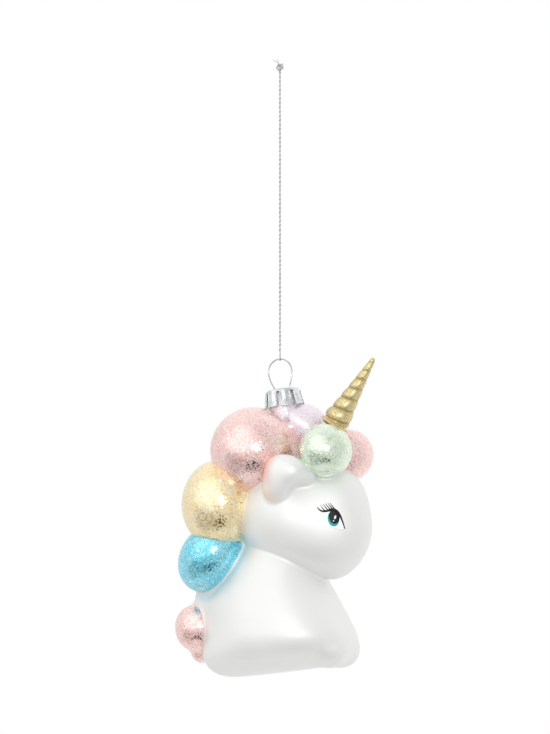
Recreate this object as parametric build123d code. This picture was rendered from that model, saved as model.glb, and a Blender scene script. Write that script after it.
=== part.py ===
from build123d import *
import math
import os

# Hanging blown-glass unicorn ornament, millimetres, +Z up, nose towards +X.
# The origin is the hanging point, under the knot of the thread.

# ---- thread ----
THREAD_D = 0.85          # two twisted strands, outside diameter
RING_Z = -102.2          # centre of the wire loop
RING_R = 4.30            # loop radius to the middle of the wire
WIRE_D = 0.50            # hanger wire
BIGHT_GAP = 0.10         # slack of the thread round the wire
KNOT_H = 3.4             # knot height above the hanging point
KNOT_ROOM = 0.66         # hollow under the knot, in which the thread's end turns
TAIL_L = 2.6             # length of each cut end

# ---- cap ----
LEAN = 8.0               # lean of the neck axis, top towards the back, degrees
CAP_TOP_Z = -107.5       # top face of the cap on the axis
CAP_TOP_R = 5.70
CAP_SKIRT_R = 6.50
CAP_H = 5.9
SHEET = 0.35             # cap sheet thickness
PETALS = 8
SLOT_W = 0.80            # gap between petals
SLOT_AT = 4.0            # where the first gap is, degrees
LEG_X = 2.70             # leg holes, half spacing
HOLE_D = 1.20
LEG_L = 9.0              # leg length below the cap
LEG_SPLAY = 0.35         # how far each leg end stands out

# ---- glass ----
WALL = 1.10              # blown wall
NECK_R = 4.95
BORE_R = 4.10
COAT = 0.35              # glitter skin on a bubble

HEAD = (12.3, -154.1, 18.85)        # X, Z, radius of the face
CRANIUM = (6.8, -145.8, 12.8, 4.2)  # back of the head: X, Z, radius, half spread across
BUBBLES = {                         # X, Y, Z, radius over the glitter, half spread across
    "crown_coat": (-6.1, 0.0, -128.9, 14.4, 7.5),
    "nape_coat": (-18.7, 0.0, -145.4, 12.9, 6.5),
    "withers_coat": (-22.0, 0.0, -163.2, 11.4, 5.5),
    "poll_coat": (6.9, 4.6, -120.6, 7.7, 0.0),
    "forelock_right_coat": (20.2, -9.4, -130.0, 8.75, 0.0),
    "forelock_left_coat": (20.2, 9.4, -130.0, 8.75, 0.0),
    "tail_coat": (-29.0, 0.0, -186.8, 8.1, 1.0),
}
# torso sections: X of centre, Z of centre, half length, half width
TORSO = [
    (-1.2, -200.4, 23.0, 15.5),
    (-0.6, -198.2, 26.0, 18.6),
    (0.3, -192.6, 26.2, 20.0),
    (-0.6, -184.0, 25.0, 19.6),
    (-2.4, -178.0, 23.2, 18.4),
    (-2.4, -171.0, 18.6, 16.6),
    (-0.9, -163.0, 15.0, 15.0),
    (0.6, -154.0, 12.6, 13.5),
]
TORSO_TILT = 5.5         # the base is tilted nose up, degrees
HOOF = (20.8, 4.0, -192.8, 6.0)     # X, half spacing, Z, radius
EAR = (8.2, 17.4, -139.2)           # centre of each ear
EAR_BALL = 9.2                      # an ear is where two such balls overlap
EAR_OFFSET = 5.0
EYE_DIR = (13.0, 13.5, 1.9)         # from the face centre to the eye
EYE_R = 5.0
EYE_FILM = 0.08

# ---- horn ----
HORN_BASE = (19.4, -120.6)          # X, Z of the collar's under side
HORN_TIP = (33.6, -99.3)
HORN_R = 4.1             # radius at the lowest turn
HORN_TURNS = 7
HORN_TIP_R = 0.35        # blunt tip
COLLAR_R = 4.80
COLLAR_T = 1.1
GLUE_R = 3.9
GLUE_T = 0.6             # glue under the collar
SEAT_R = 3.6             # glass boss that carries the horn

os.makedirs("parts", exist_ok=True)


def one(shape):
    """The largest solid of a shape."""
    return max(shape.solids(), key=lambda s: s.volume)


def ball(x, y, z, r):
    return Pos(x, y, z) * Sphere(r)


def roll(x, y, z, r, d):
    """A ball drawn out to both sides by d along Y."""
    if d == 0:
        return ball(x, y, z, r)
    k = r * math.sqrt(0.5)
    outline = make_face(Wire([
        ThreePointArc((0, -d - r), (k, -d - k), (r, -d)), Line((r, -d), (r, d)),
        ThreePointArc((r, d), (k, d + k), (0, d + r)), Line((0, d + r), (0, -d - r))]))
    return Pos(x, y, z) * revolve(outline, axis=Axis.Y)


def rod(a, b, r):
    """A round bar from point a to point b."""
    a, b = Vector(*a), Vector(*b)
    return Plane(origin=a, z_dir=(b - a)) * Cylinder(
        r, (b - a).length, align=(Align.CENTER, Align.CENTER, Align.MIN))


# neck axis: cap frame with +Z along the axis, origin on the cap's top face
lean = math.radians(LEAN)
axis_up = Vector(-math.sin(lean), 0, math.cos(lean))
cap_plane = Plane(
    origin=(math.tan(lean) * (RING_Z - CAP_TOP_Z), 0, CAP_TOP_Z),
    x_dir=(math.cos(lean), 0, math.sin(lean)),
    z_dir=axis_up,
)

# horn axis: frame with +Z along the horn, origin under the collar
hb = Vector(HORN_BASE[0], 0, HORN_BASE[1])
ht = Vector(HORN_TIP[0], 0, HORN_TIP[1])
horn_dir = (ht - hb).normalized()
horn_len = (ht - hb).length
horn_plane = Plane(origin=hb, x_dir=(0, 1, 0), z_dir=horn_dir)

# ---------------------------------------------------------------- glass body


def torso(shrink, lift):
    t = math.radians(TORSO_TILT)
    rings = []
    last = len(TORSO) - 1
    for i, (cx, cz, a, b) in enumerate(TORSO):
        dz = lift if i == 0 else (-lift if i == last else 0.0)
        if i == 1 and lift:
            dz = lift * 0.6
        pl = Plane(origin=(cx - math.sin(t) * dz, 0, cz + math.cos(t) * dz),
                   x_dir=(math.cos(t), 0, math.sin(t)),
                   z_dir=(-math.sin(t), 0, math.cos(t)))
        rings.append(pl * Ellipse(a - shrink, b - shrink))
    return loft(rings)


def ears():
    """Each ear is a lens of glass that lies on the side of the head."""
    out = []
    for side in (-1, 1):
        d = Vector(0.10, side, -0.05).normalized()
        c = Vector(EAR[0], side * EAR[1], EAR[2])
        p, q = c + d * EAR_OFFSET, c - d * EAR_OFFSET
        out.append(ball(p.X, p.Y, p.Z, EAR_BALL) & ball(q.X, q.Y, q.Z, EAR_BALL))
    return out


def glass_volume(shrink, lift, neck_r, neck_top):
    """The blown form, offset inwards by the given amount."""
    s = torso(shrink, lift)
    s += ball(HEAD[0], 0, HEAD[1], HEAD[2] - shrink)
    s += roll(CRANIUM[0], 0, CRANIUM[1], CRANIUM[2] - shrink, CRANIUM[3])
    for x, y, z, r, d in BUBBLES.values():
        s += roll(x, y, z, r - COAT - shrink, d)
    for side in (-1, 1):
        s += ball(HOOF[0], side * HOOF[1], HOOF[2], HOOF[3] - shrink)
    neck = cap_plane * Pos(0, 0, neck_top) * Cylinder(
        neck_r, 24.0 + neck_top, align=(Align.CENTER, Align.CENTER, Align.MAX))
    s += neck
    return s


NECK_TOP = -SHEET - 0.35
outer = glass_volume(0.0, 0.0, NECK_R, NECK_TOP)
for e in ears():
    outer += e
seat = horn_plane * Pos(0, 0, -GLUE_T) * Cylinder(
    SEAT_R, 14.0, align=(Align.CENTER, Align.CENTER, Align.MAX))
outer += seat
inner = glass_volume(WALL, 1.3, BORE_R, 2.0)
glass = one(outer - inner)

# ------------------------------------------------------------- glitter coats
coats = {}
done = []
for name, (x, y, z, r, d) in BUBBLES.items():
    c = roll(x, y, z, r, d) - outer
    for q in done:
        gap = math.dist((x, y, z), q[:3])
        if gap < r + d + q[3] + q[4]:
            c = c - roll(*q)
    coats[name] = one(c)
    done.append((x, y, z, r, d))

# the cap stands clear of every coat
cap_room = cap_plane * Pos(0, 0, 1) * Cylinder(
    CAP_SKIRT_R + 0.30, CAP_H + 1.35, align=(Align.CENTER, Align.CENTER, Align.MAX))
for name in ("crown_coat", "poll_coat"):
    coats[name] = one(coats[name] - cap_room)

# ---------------------------------------------------------------------- eyes
eyes = {}
for side, name in ((-1, "eye_right"), (1, "eye_left")):
    d = Vector(EYE_DIR[0], side * EYE_DIR[1], EYE_DIR[2]).normalized()
    film = ball(HEAD[0], 0, HEAD[1], HEAD[2] + EYE_FILM) - ball(
        HEAD[0], 0, HEAD[1], HEAD[2])
    punch = Plane(origin=Vector(HEAD[0], 0, HEAD[1]) + d * 10, z_dir=d) * Cylinder(
        EYE_R, 20, align=(Align.CENTER, Align.CENTER, Align.MIN))
    eyes[name] = one(film & punch)

# ---------------------------------------------------------------------- horn
# profile: collar, then bulged turns that shrink towards the tip
edges = [Line((0, 0), (COLLAR_R, 0)), Line((COLLAR_R, 0), (COLLAR_R, COLLAR_T))]
steps = [1.0]
for i in range(HORN_TURNS - 1):
    steps.append(steps[-1] * 0.86)
total = sum(steps)
z0 = COLLAR_T
r_root = HORN_R - 0.45
edges.append(Line((COLLAR_R, COLLAR_T), (r_root, COLLAR_T)))
r_now = r_root
for i, st in enumerate(steps):
    z1 = z0 + (horn_len - COLLAR_T) * st / total
    f1 = (z1 - COLLAR_T) / (horn_len - COLLAR_T)
    r_next = r_root * (1 - f1) + HORN_TIP_R * f1
    zm = z0 + 0.45 * (z1 - z0)
    rm = 0.5 * (r_now + r_next) + 0.42 * (1 - 0.75 * f1)
    edges.append(ThreePointArc((r_now, z0), (rm, zm), (r_next, z1)))
    r_now, z0 = r_next, z1
edges.append(Line((r_now, z0), (0, z0)))
edges.append(Line((0, z0), (0, 0)))
prof = make_face(Wire(edges))
horn = one(horn_plane * revolve(Plane.XZ * prof, axis=Axis.Z))

# glue pad between the collar and the head
glue = horn_plane * Cylinder(
    GLUE_R, GLUE_T, align=(Align.CENTER, Align.CENTER, Align.MAX))
for shape in [outer] + list(coats.values()):
    glue = glue - shape
glue = max(glue.solids(), key=lambda s: (s.center() - hb).dot(horn_dir))
for name in ("poll_coat", "forelock_right_coat", "forelock_left_coat"):
    coats[name] = one(coats[name] - horn - glue)

# ----------------------------------------------------------------------- cap
ts = SHEET
h = CAP_H
cap_face = make_face(Polyline([
    (0, 0), (CAP_TOP_R - 0.5, 0), (CAP_TOP_R, -0.5), (CAP_TOP_R + 0.2, -2.2),
    (CAP_SKIRT_R, -h), (CAP_SKIRT_R - ts, -h), (CAP_TOP_R + 0.2 - ts, -2.2),
    (CAP_TOP_R - ts, -0.5 - 0.3 * ts), (CAP_TOP_R - 0.5 - 0.3 * ts, -ts), (0, -ts),
], close=True))
cap = revolve(Plane.XZ * cap_face, axis=Axis.Z)
for i in range(PETALS):
    ang = 360.0 / PETALS * i + SLOT_AT
    cap -= Rot(0, 0, ang) * Pos(CAP_SKIRT_R, 0, -h + 1.4) * Box(4.0, SLOT_W, 3.8)
for sx in (-1, 1):
    cap -= Pos(sx * LEG_X, 0, 0) * Cylinder(HOLE_D / 2, 4)
cap = one(cap_plane * cap)

# --------------------------------------------------------------- wire hanger
ring_c = Vector(0, 0, RING_Z)
to_cap = cap_plane.to_local_coords


def cap_xz(x, z):
    return cap_plane.from_local_coords(Vector(x, 0, z))


hole_z = -SHEET / 2
c_loc = to_cap(ring_c)
drop = math.sqrt(RING_R ** 2 - LEG_X ** 2)
path = []
ends = []
# the loop is a circle in the plane of symmetry, the legs leave it at the holes
left_top = cap_plane.from_local_coords(c_loc + Vector(-LEG_X, 0, -drop))
right_top = cap_plane.from_local_coords(c_loc + Vector(LEG_X, 0, -drop))
top = cap_plane.from_local_coords(c_loc + Vector(0, 0, RING_R))
left_hole = cap_xz(-LEG_X, -1.2)
right_hole = cap_xz(LEG_X, -1.2)
left_end = cap_xz(-LEG_X - LEG_SPLAY, -LEG_L)
right_end = cap_xz(LEG_X + LEG_SPLAY, -LEG_L)


def wire_piece(line, start, direction):
    sec = Plane(origin=start, z_dir=direction) * Circle(WIRE_D / 2)
    return sweep(sec, path=line)


loop = ThreePointArc(left_top, top, right_top)
hanger = wire_piece(loop, loop @ 0, loop % 0)
for p, q, r in ((left_top, left_hole, left_end), (right_top, right_hole, right_end)):
    hanger += rod(p, q, WIRE_D / 2)
    hanger += Pos(p.X, p.Y, p.Z) * Sphere(WIRE_D / 2)
    hanger += rod(q, r, WIRE_D / 2)
    hanger += Pos(q.X, q.Y, q.Z) * Sphere(WIRE_D / 2)
hanger = one(hanger)

# -------------------------------------------------------------------- thread
ring_top = RING_Z + RING_R
bight_r = WIRE_D / 2 + BIGHT_GAP + THREAD_D / 4     # to the middle of one strand
strand_r = THREAD_D / 4
bight_top = ring_top + bight_r + strand_r
# the bight: a small closed loop of one strand round the wire
bight = Pos(0, 0, ring_top) * Rot(0, 90, 0) * Torus(bight_r, strand_r)
bight += Pos(0, 0, bight_top - strand_r) * Cylinder(
    THREAD_D / 2, 1.6, align=(Align.CENTER, Align.CENTER, Align.MIN))
bight = one(bight)
run_bottom = bight_top - strand_r + 1.6
run = Pos(0, 0, run_bottom) * Cylinder(
    THREAD_D / 2, -run_bottom, align=(Align.CENTER, Align.CENTER, Align.MIN))
run = one(run + Sphere(THREAD_D / 2))      # rounded end, which turns in the knot
knot = Pos(0, 0, KNOT_H / 2) * scale(Sphere(1.0), by=(1.15, 1.1, KNOT_H / 2 + 0.02))
knot = one((knot & Box(6, 6, 20, align=(Align.CENTER, Align.CENTER, Align.MIN)))
           - Sphere(KNOT_ROOM))
tails = []
for dx, dz in ((-2.0, 1.45), (-0.70, 1.70)):
    p = Vector(-0.45 if dx < -1 else -0.25, 0, KNOT_H - 0.35)
    q = p + Vector(dx, -0.25 if dx < -1 else 0.25, dz).normalized() * TAIL_L
    tails.append(one(rod(tuple(p), tuple(q), strand_r) - knot))
tails[1] = one(tails[1] - tails[0])

# -------------------------------------------------------------------- export
nodes = {
    "glass_body": glass,
    "horn": horn,
    "horn_glue": glue,
    "crown_cap": cap,
    "wire_hanger": hanger,
    "cord_run": run,
    "cord_bight": bight,
    "cord_knot": knot,
    "cord_tails": Compound(children=tails),
}
nodes.update(coats)
nodes.update(eyes)
for name, shape in nodes.items():
    export_step(shape, f"parts/{name}.step")

print("cap origin", cap_plane.origin, "axis", axis_up)
print("run length", -run_bottom, "volume", run.volume,
      "section x length", math.pi * THREAD_D ** 2 / 4 * -run_bottom)

for name, shape in nodes.items():
    c = shape.center(CenterOf.MASS)
    print(f"{name:22s} volume {shape.volume:9.2f}  centre {c.X:8.3f} {c.Y:8.3f} {c.Z:9.3f}")
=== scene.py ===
import math

import bpy
import numpy as np
from mathutils import Matrix, Vector
from mathutils.geometry import delaunay_2d_cdt


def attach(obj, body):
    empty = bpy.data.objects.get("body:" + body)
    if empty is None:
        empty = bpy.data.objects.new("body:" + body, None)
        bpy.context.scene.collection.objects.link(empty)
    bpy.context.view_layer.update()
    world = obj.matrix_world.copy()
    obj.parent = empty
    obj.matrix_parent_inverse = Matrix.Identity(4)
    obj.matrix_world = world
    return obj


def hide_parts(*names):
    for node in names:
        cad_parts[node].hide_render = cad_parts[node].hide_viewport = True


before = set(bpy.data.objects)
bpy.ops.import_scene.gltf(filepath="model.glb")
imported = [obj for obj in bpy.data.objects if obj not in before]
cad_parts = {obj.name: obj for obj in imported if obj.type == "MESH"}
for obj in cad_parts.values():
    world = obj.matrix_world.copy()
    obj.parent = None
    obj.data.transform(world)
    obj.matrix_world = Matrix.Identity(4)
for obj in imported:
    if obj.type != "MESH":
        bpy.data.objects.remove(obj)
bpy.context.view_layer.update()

MM = 0.001

# =====================================================================
# camera: picture of 550 x 734, three pixels to the millimetre at the thread
# =====================================================================
PIC_W, PIC_H = 550, 734
AZ, EL, DIST, FPX = 24.0, -7.0, 750.0, 2250.0
_a, _e = math.radians(AZ), math.radians(EL)
BACK = np.array([math.sin(_a) * math.cos(_e), -math.cos(_a) * math.cos(_e), math.sin(_e)])
RIGHT = np.array([math.cos(_a), math.sin(_a), 0.0])
UP = np.cross(BACK, RIGHT)
CAM = np.array([300.92630, -680.05202, -191.90038])     # millimetres


def ray(px, py):
    d = (px - PIC_W / 2) / FPX * RIGHT + (PIC_H / 2 - py) / FPX * UP - BACK
    return d


def at_y(px, py, y=0.0):
    """The point of the plane Y = y that the camera sees at a pixel, in millimetres."""
    d = ray(px, py)
    return CAM + d * ((y - CAM[1]) / d[1])


cam_data = bpy.data.cameras.new("photo_camera")
cam_data.sensor_fit = "AUTO"
cam_data.sensor_width = 36.0
cam_data.lens = 36.0 * FPX / PIC_H
cam_data.clip_start = 0.01
cam_data.clip_end = 20.0
cam = bpy.data.objects.new("photo_camera", cam_data)
cam.matrix_world = Matrix((
    (RIGHT[0], UP[0], BACK[0], CAM[0] * MM),
    (RIGHT[1], UP[1], BACK[1], CAM[1] * MM),
    (RIGHT[2], UP[2], BACK[2], CAM[2] * MM),
    (0, 0, 0, 1)))
bpy.context.scene.collection.objects.link(cam)
bpy.context.scene.camera = cam

# =====================================================================
# small helpers
# =====================================================================


def lin(c):
    c = c / 255.0
    return c / 12.92 if c <= 0.04045 else ((c + 0.055) / 1.055) ** 2.4


def rgb(r, g, b):
    return (lin(r), lin(g), lin(b), 1.0)


def build(name, verts, faces, mats, body, smooth=True, face_mat=None):
    """A mesh piece from millimetre points; it rides on a body."""
    verts = np.ascontiguousarray(np.asarray(verts, float) * MM)
    me = bpy.data.meshes.new(name)
    if isinstance(faces, np.ndarray):
        n, k = faces.shape
        me.vertices.add(len(verts))
        me.vertices.foreach_set("co", verts.ravel())
        me.loops.add(n * k)
        me.loops.foreach_set("vertex_index", np.ascontiguousarray(faces, dtype=np.int32).ravel())
        me.polygons.add(n)
        me.polygons.foreach_set("loop_start", np.arange(0, n * k, k, dtype=np.int32))
        me.update(calc_edges=True)
    else:
        me.from_pydata([tuple(v) for v in verts], [], [tuple(int(i) for i in f) for f in faces])
    me.validate()
    me.polygons.foreach_set("use_smooth", np.full(len(me.polygons), bool(smooth)))
    for m in (mats if isinstance(mats, (list, tuple)) else [mats]):
        me.materials.append(m)
    if face_mat is not None:
        me.polygons.foreach_set("material_index", np.asarray(face_mat, dtype=np.int32))
    me.update()
    ob = bpy.data.objects.new(name, me)
    bpy.context.scene.collection.objects.link(ob)
    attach(ob, body)
    return ob


def smin(a, b, k):
    h = np.maximum(k - np.abs(a - b), 0.0) / k
    return np.minimum(a, b) - h * h * k * 0.25


def smax(a, b, k):
    return -smin(-a, -b, k)


def sphere(p, c, r):
    return np.sqrt(((p - np.asarray(c)) ** 2).sum(-1)) - r


def turn(axis, deg):
    return np.array(Matrix.Rotation(math.radians(deg), 3, axis))


def ellipsoid(p, c, r, rot=None):
    q = p - np.asarray(c)
    if rot is not None:
        q = q @ rot                      # into the ellipsoid's own axes
    r = np.asarray(r, float)
    k0 = np.sqrt(((q / r) ** 2).sum(-1))
    k1 = np.sqrt(((q / (r * r)) ** 2).sum(-1)) + 1e-9
    return k0 * (k0 - 1.0) / k1


def capsule(p, a, b, ra, rb):
    a, b = np.asarray(a, float), np.asarray(b, float)
    ab = b - a
    t = np.clip(((p - a) @ ab) / (ab @ ab), 0.0, 1.0)
    return np.sqrt(((p - a - t[..., None] * ab) ** 2).sum(-1)) - (ra + (rb - ra) * t)


def curve_through(xs, ys):
    """A smooth curve through table points, by cubic Hermite pieces with limited slopes."""
    xs, ys = np.asarray(xs, float), np.asarray(ys, float)
    d = np.diff(ys) / np.diff(xs)
    m = np.empty(len(xs))
    m[0], m[-1] = d[0], d[-1]
    for i in range(1, len(xs) - 1):
        m[i] = 0.0 if d[i - 1] * d[i] <= 0 else 2 * d[i - 1] * d[i] / (d[i - 1] + d[i])

    def f(x):
        x = np.clip(x, xs[0], xs[-1])
        i = np.clip(np.searchsorted(xs, x) - 1, 0, len(xs) - 2)
        h = xs[i + 1] - xs[i]
        t = (x - xs[i]) / h
        return ((2 * t ** 3 - 3 * t ** 2 + 1) * ys[i] + (t ** 3 - 2 * t ** 2 + t) * h * m[i]
                + (-2 * t ** 3 + 3 * t ** 2) * ys[i + 1] + (t ** 3 - t ** 2) * h * m[i + 1])
    return f


# =====================================================================
# the blown form, as a distance field in millimetres
# =====================================================================
LEAN = math.radians(8.0)
AXIS_UP = np.array([-math.sin(LEAN), 0.0, math.cos(LEAN)])
AXIS_X = np.array([math.cos(LEAN), 0.0, math.sin(LEAN)])
RING_Z, RING_R, WIRE_D = -102.2, 4.30, 0.50
CAP_TOP = np.array([math.tan(LEAN) * (RING_Z + 107.5), 0.0, -107.5])
HORN_BASE = np.array([19.4, 0.0, -120.6])
HORN_TIP = np.array([33.6, 0.0, -99.3])
HORN_LEN = float(np.linalg.norm(HORN_TIP - HORN_BASE))
HORN_UP = (HORN_TIP - HORN_BASE) / HORN_LEN

# mane and tail bubbles: centre, half sizes, turn about Y, and how far each is drawn out to both sides
BALLS = {
    "crown": ((-6.1, 0.0, -128.9), (14.5, 14.4, 14.4), 0, 7.7),
    "nape": ((-17.9, 0.0, -146.4), (12.8, 12.8, 15.0), 0, 8.8),
    "withers": ((-21.6, 0.0, -163.4), (10.2, 11.4, 13.2), 41, 6.5),
    "poll": ((6.9, 4.6, -120.6), (7.8, 7.7, 7.7), 0, 0.0),
    "forelock_right": ((20.2, -9.4, -130.0), (8.75, 8.75, 8.75), 0, 0.0),
    "forelock_left": ((20.2, 9.4, -130.0), (8.75, 8.75, 8.75), 0, 0.0),
    "tail": ((-28.4, 0.0, -186.8), (8.0, 8.0, 8.1), 0, 2.6),
}
COAT = 0.35

# torso: height, where its outline shows in front and behind, half width, place of the widest line
TORSO = [
    (-207.0, 24.6, -25.2, 19.0, -0.6),
    (-197.0, 25.8, -26.0, 20.0, -0.4),
    (-190.5, 25.4, -24.4, 20.3, 0.0),
    (-184.4, 23.0, -23.6, 19.7, -0.5),
    (-180.0, 20.8, -23.2, 18.9, -1.2),
    (-176.5, 19.0, -22.0, 18.1, -1.5),
    (-173.5, 17.3, -20.0, 17.3, -1.3),
    (-170.0, 15.6, -17.2, 16.3, -0.7),
    (-166.0, 14.2, -14.4, 15.0, 0.1),
    (-162.5, 12.8, -12.4, 13.2, 0.7),
    (-159.0, 10.6, -10.8, 10.2, 0.9),
    (-155.0, 7.6, -8.0, 6.0, 0.8),
]
T_N = 2.12               # how full the sections are
_tz = [r[0] for r in TORSO]
T_B = curve_through(_tz, [r[3] for r in TORSO])
T_C = curve_through(_tz, [r[4] for r in TORSO])


def _reach(u, b, c):
    """Half length whose outline shows at u, for a section of half width b about c."""
    q = T_N / (T_N - 1.0)
    return (abs(u - c * RIGHT[0]) ** q - (b * RIGHT[1]) ** q) ** (1 / q) / RIGHT[0]


T_F = curve_through(_tz, [_reach(r[1], r[3], r[4]) for r in TORSO])
T_R = curve_through(_tz, [_reach(r[2], r[3], r[4]) for r in TORSO])
BASE_TILT = math.radians(6.5)
BASE_Z = -201.9


def torso_field(p):
    z = p[..., 2]
    b, c = T_B(z), T_C(z)
    dx, dy = p[..., 0] - c, p[..., 1]
    a = np.where(dx > 0, T_F(z), T_R(z))
    ex, ey = np.abs(dx) / a, np.abs(dy) / b
    k0 = (ex ** T_N + ey ** T_N) ** (1 / T_N) + 1e-9
    slope = np.sqrt(((ex / k0) ** (T_N - 1) / a) ** 2 + ((ey / k0) ** (T_N - 1) / b) ** 2) + 1e-6
    side = (k0 - 1.0) / slope
    floor = -((z - BASE_Z) * math.cos(BASE_TILT) - (p[..., 0] + 6.0) * math.sin(BASE_TILT))
    d = smax(side, floor, 12.5)
    roof = z + 150.0
    d = smax(d, roof, 4.0)
    # the web of glass down the back, from the mane to the tail
    web = capsule(p, (-22.0, 0.0, -166.0), (-26.2, 0.0, -182.0), 5.0, 5.6)
    return smin(d, web, 8.0)


def ear_field(p, side):
    """A soft thick leaf that hangs back and down from the side of the head."""
    q = p.copy()
    q[..., 1] = q[..., 1] * (-side)           # the right ear's side is negative Y
    upper = ellipsoid(q, (8.7, -16.6, -135.9), (6.0, 3.1, 4.5), turn("Y", 12) @ turn("Z", 4))
    lower = ellipsoid(q, (6.7, -17.3, -140.5), (4.8, 2.9, 6.3), turn("Y", 20) @ turn("Z", 6))
    root = capsule(q, (14.0, -12.0, -137.2), (11.6, -15.2, -136.9), 3.9, 3.6)
    return smin(smin(upper, lower, 4.0), root, 3.0)


def head_field(p):
    # widest at the cheekbones, narrower towards the muzzle
    t = p.copy()
    t[..., 1] = t[..., 1] * (1.0 + 0.46 * (1.0 - np.exp(-np.maximum(t[..., 0] + 1.0, 0.0) ** 2 / 300.0)))
    face = ellipsoid(t, (12.7, 0.0, -154.0), (19.3, 18.4, 18.9))
    skull = ellipsoid(p, (3.4, 0.0, -149.2), (15.0, 17.4, 16.6))
    brow = ellipsoid(p, (17.0, 0.0, -144.0), (11.2, 9.5, 9.5))
    cheek = ellipsoid(p, (-1.0, 0.0, -154.5), (8.6, 12.0, 10.0))
    head = smin(smin(smin(face, skull, 6.0), brow, 6.0), cheek, 7.0)
    # the jaw: a straight line that rises towards the neck, with a keel at the chin
    jaw = -(p[..., 2] + 172.6 + 0.32 * (p[..., 0] - 18.2) - 0.25 * np.abs(p[..., 1])) * 0.93
    head = smax(head, jaw, 4.0)
    # the boss that carries the horn
    q = p - HORN_BASE
    h = q @ HORN_UP
    rad = np.sqrt(np.maximum((q * q).sum(-1) - h * h, 0.0))
    boss = np.maximum(np.maximum(rad - 3.6 - 0.10 * np.maximum(-h, 0.0), h + 0.45), -h - 18.0)
    return smin(head, boss, 3.0)


LOBES = {
    # smaller swellings that belong to a bubble: centre, half sizes
    "tail": [((-28.0, 0.0, -194.6), (4.0, 4.4, 3.9))],
    "poll": [((4.4, 1.6, -118.6), (6.0, 6.0, 6.0))],
}


def bubble_field(name, p, inset=0.0):
    c, r, ry, wide = BALLS[name]
    q = p - np.asarray(c)
    t = np.abs(q[..., 1]) - wide
    q[..., 1] = 0.5 * (t + np.sqrt(t * t + (0.34 * wide) ** 2))
    d = ellipsoid(q, (0.0, 0.0, 0.0), np.asarray(r) - inset, turn("Y", ry))
    for lc, lr in LOBES.get(name, ()):
        d = smin(d, ellipsoid(p, lc, np.asarray(lr) - inset), 1.6)
    return d


def body_field(p):
    """White glass: head, ears, torso, front legs and the cores of the bubbles."""
    torso = torso_field(p)
    for s in (-1, 1):
        leg = capsule(p, (15.0, s * 5.2, -184.0), (20.6, s * 4.6, -194.6), 2.6, 4.5)
        torso = smin(torso, leg, 4.6)
    plain = smin(torso, head_field(p), 1.3)
    out = plain
    for s in (-1, 1):
        out = np.minimum(out, smin(plain, ear_field(p, -s), 1.8))
    for name in BALLS:
        core = bubble_field(name, p, COAT)
        out = np.minimum(out, smin(plain, core, 2.6 if name == "withers" else 1.7))
    # neck with its bore
    q = p - CAP_TOP
    h = q @ AXIS_UP
    rad = np.sqrt(np.maximum((q * q).sum(-1) - h * h, 0.0))
    neck = np.maximum(np.maximum(rad - 4.95, h + 1.45), -h - 16.0)
    out = smin(out, neck, 0.8)
    bore = np.maximum(rad - 4.10, -h - 15.0)
    return np.maximum(out, -bore)


def grid_surface(field, lo, hi, h):
    """Closed quad surface of a field on a regular grid, pulled on to the field's zero."""
    lo, hi = np.asarray(lo, float), np.asarray(hi, float)
    n = np.ceil((hi - lo) / h).astype(int) + 1
    ax = [lo[i] + h * np.arange(n[i]) for i in range(3)]
    F = np.empty(n)
    gy, gz = np.meshgrid(ax[1], ax[2], indexing="ij")
    for i0 in range(0, n[0], 12):
        xs = ax[0][i0:i0 + 12]
        P = np.empty((len(xs), n[1], n[2], 3))
        P[..., 0] = xs[:, None, None]
        P[..., 1] = gy[None]
        P[..., 2] = gz[None]
        F[i0:i0 + 12] = field(P)
    S = F < 0
    corner = [(i, j, k) for i in (0, 1) for j in (0, 1) for k in (0, 1)]

    def cut(A, c):
        return A[c[0]:n[0] - 1 + c[0], c[1]:n[1] - 1 + c[1], c[2]:n[2] - 1 + c[2]]
    cnt = sum(cut(S, c).astype(np.int8) for c in corner)
    act = (cnt > 0) & (cnt < 8)
    ids = np.full(act.shape, -1, dtype=np.int64)
    cell = np.argwhere(act)
    ids[act] = np.arange(len(cell))
    f8 = np.stack([F[cell[:, 0] + c[0], cell[:, 1] + c[1], cell[:, 2] + c[2]] for c in corner], 1)
    acc = np.zeros((len(cell), 3))
    num = np.zeros(len(cell))
    for a in range(8):
        for b in range(a + 1, 8):
            ca, cb = np.array(corner[a]), np.array(corner[b])
            if np.abs(ca - cb).sum() != 1:
                continue
            fa, fb = f8[:, a], f8[:, b]
            m = (fa < 0) != (fb < 0)
            t = np.where(m, fa / np.where(m, fa - fb, 1.0), 0.0)
            acc += np.where(m[:, None], ca + t[:, None] * (cb - ca), 0.0)
            num += m
    v = lo + h * (cell + acc / num[:, None])
    quads = []
    for d in range(3):
        e1, e2 = [i for i in range(3) if i != d]
        sl0 = [slice(1, n[i] - 1) for i in range(3)]
        sl1 = list(sl0)
        sl0[d] = slice(0, n[d] - 1)
        sl1[d] = slice(1, n[d])
        A, B = S[tuple(sl0)], S[tuple(sl1)]
        for inside_first in (True, False):
            m = (A & ~B) if inside_first else (~A & B)
            w = np.argwhere(m)
            w[:, e1] += 1
            w[:, e2] += 1
            cs = []
            for o1, o2 in ((-1, -1), (0, -1), (0, 0), (-1, 0)):
                q = w.copy()
                q[:, e1] += o1
                q[:, e2] += o2
                cs.append(ids[q[:, 0], q[:, 1], q[:, 2]])
            quad = np.stack(cs, 1)
            if inside_first == (d == 1):
                quad = quad[:, ::-1]
            quads.append(quad)
    quads = np.concatenate(quads)
    for _ in range(4):
        f = field(v)
        g = np.stack([(field(v + o) - field(v - o)) / 0.08 for o in np.eye(3) * 0.04], 1)
        step = f / np.maximum((g * g).sum(1), 0.15)
        step = np.clip(step, -0.4 * h, 0.4 * h)
        v = v - step[:, None] * g
    return v, quads


# =====================================================================
# materials
# =====================================================================


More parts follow.
